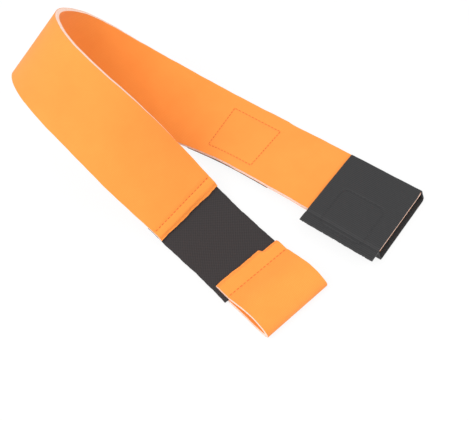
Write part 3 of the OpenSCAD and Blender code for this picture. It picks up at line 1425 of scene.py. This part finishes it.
@dataclass
class Stage:
    """The pale table, the soft lamps and the camera."""

    azimuth: float = 43.68
    elevation: float = 57.07
    roll: float = -7.54
    lens: float = 49.79
    distance: float = 413.45
    target: tuple[float, float, float] = (-65.61, -48.39, 0.0)
    floor_glow: float = 0.88
    surround: float = 0.62

    def build_camera(self) -> None:
        """Sets the camera up over the keeper's end, looking back along the strap."""
        a, e, r = (math.radians(v) for v in (self.azimuth, self.elevation, self.roll))
        back = Vector((math.sin(a) * math.cos(e), -math.cos(a) * math.cos(e), math.sin(e)))
        right = Vector((math.cos(a), math.sin(a), 0))
        up = back.cross(right)
        turned_right = right * math.cos(r) + up * math.sin(r)
        turned_up = up * math.cos(r) - right * math.sin(r)
        spot = (Vector(self.target) + back * self.distance) * MM
        data = bpy.data.cameras.new("camera")
        data.lens = self.lens
        data.clip_start = 0.01
        data.clip_end = 20
        camera = bpy.data.objects.new("camera", data)
        bpy.context.scene.collection.objects.link(camera)
        turn = Matrix((turned_right, turned_up, back)).transposed().to_4x4()
        camera.matrix_world = Matrix.Translation(spot) @ turn
        bpy.context.scene.camera = camera

    def build_floor(self) -> None:
        """Lays a wide white floor that keeps a faint shadow."""
        bm = bmesh.new()
        bmesh.ops.create_grid(bm, x_segments=1, y_segments=1, size=3)
        bmesh.ops.translate(bm, verts=bm.verts[:], vec=(0, 0, -0.0002))
        mesh = bpy.data.meshes.new("floor")
        bm.to_mesh(mesh)
        bm.free()
        floor = bpy.data.objects.new("floor", mesh)
        bpy.context.scene.collection.objects.link(floor)
        mesh.materials.append(self.floor_paper())

    def floor_paper(self) -> bpy.types.Material:
        """White paper: it glows to the camera by itself and takes a little shadow.

        Returns:
            The new material.
        """
        material, tree, out = fresh_material("white_background_paper")
        glow = add_node(tree, "ShaderNodeEmission", {"Color": (1, 1, 1, 1), "Strength": 1.0})
        paper = add_node(
            tree, "ShaderNodeBsdfDiffuse", {"Color": (0.86, 0.86, 0.86, 1)}
        )
        path = add_node(tree, "ShaderNodeLightPath")
        seen = add_node(
            tree, "ShaderNodeMath", {"operation": "MAXIMUM"},
            {0: path.outputs["Is Camera Ray"], 1: path.outputs["Is Glossy Ray"]},
        )
        share = add_node(
            tree, "ShaderNodeMath", {"operation": "MULTIPLY", 1: self.floor_glow}, {0: seen.outputs[0]}
        )
        mix = add_node(
            tree, "ShaderNodeMixShader",
            links={0: share.outputs[0], 1: paper.outputs[0], 2: glow.outputs[0]},
        )
        tree.links.new(mix.outputs[0], out.inputs[0])
        return material

    def build_light(self) -> None:
        """Sets a white surround and two large soft lamps."""
        world = bpy.data.worlds.new("surround")
        bpy.context.scene.world = world
        world.use_nodes = True
        tree = world.node_tree
        tree.nodes.clear()
        out = tree.nodes.new("ShaderNodeOutputWorld")
        light = add_node(
            tree, "ShaderNodeBackground", {"Color": (1, 1, 1, 1), "Strength": self.surround}
        )
        plain = add_node(tree, "ShaderNodeBackground", {"Color": (1, 1, 1, 1), "Strength": 1.0})
        path = add_node(tree, "ShaderNodeLightPath")
        mix = add_node(
            tree, "ShaderNodeMixShader",
            links={0: path.outputs["Is Camera Ray"], 1: light.outputs[0], 2: plain.outputs[0]},
        )
        tree.links.new(mix.outputs[0], out.inputs[0])
        self.lamp("key_softbox", (-0.25, -0.55, 0.95), 0.8, 9.0)
        self.lamp("fill_softbox", (0.7, 0.25, 0.8), 0.9, 4.0)

    def lamp(
        self, name: str, spot: tuple[float, float, float], size: float, power: float
    ) -> None:
        """One square softbox aimed at the strap.

        Args:
            name: The lamp's name.
            spot: Where it stands, in metres.
            size: Its side, in metres.
            power: Its power, in watts.
        """
        data = bpy.data.lights.new(name, "AREA")
        data.size = size
        data.energy = power
        light = bpy.data.objects.new(name, data)
        bpy.context.scene.collection.objects.link(light)
        aim = Vector(self.target) * MM - Vector(spot)
        light.matrix_world = (
            Matrix.Translation(spot) @ aim.to_track_quat("-Z", "Y").to_matrix().to_4x4()
        )

    def build(self) -> None:
        """Builds the whole stage."""
        self.build_camera()
        self.build_floor()
        self.build_light()
        view = bpy.context.scene.view_settings
        view.view_transform = "Standard"


def main() -> None:
    """Builds the stage, then the strap from its band to its keeper."""
    logging.basicConfig(level=logging.INFO, format="%(name)s: %(message)s")
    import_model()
    Stage().build()
    jersey = KnitJersey().build()
    foam = ClosedCellFoam().build()
    plies = {Ply.OUTER: jersey, Ply.CORE: foam, Ply.INNER: jersey}
    shaded_orange_thread = SHADED_ORANGE_THREAD.build()
    route = BandRoute()
    band = NeopreneBand(route)
    band.build(plies)
    band.build_seams(shaded_orange_thread)
    PilePatch(band).build(BRUSHED_PILE.build())
    HookTape(route).build(PlainWeave().build(), HOOK_PLASTIC.build())
    FingerLoop(route).build(plies, shaded_orange_thread)
    keeper = KeeperSleeve()
    keeper.build_webbing(RibbedWebbing().build())
    keeper.build_seams(BLACK_THREAD.build())


if __name__ == "__main__":
    main()
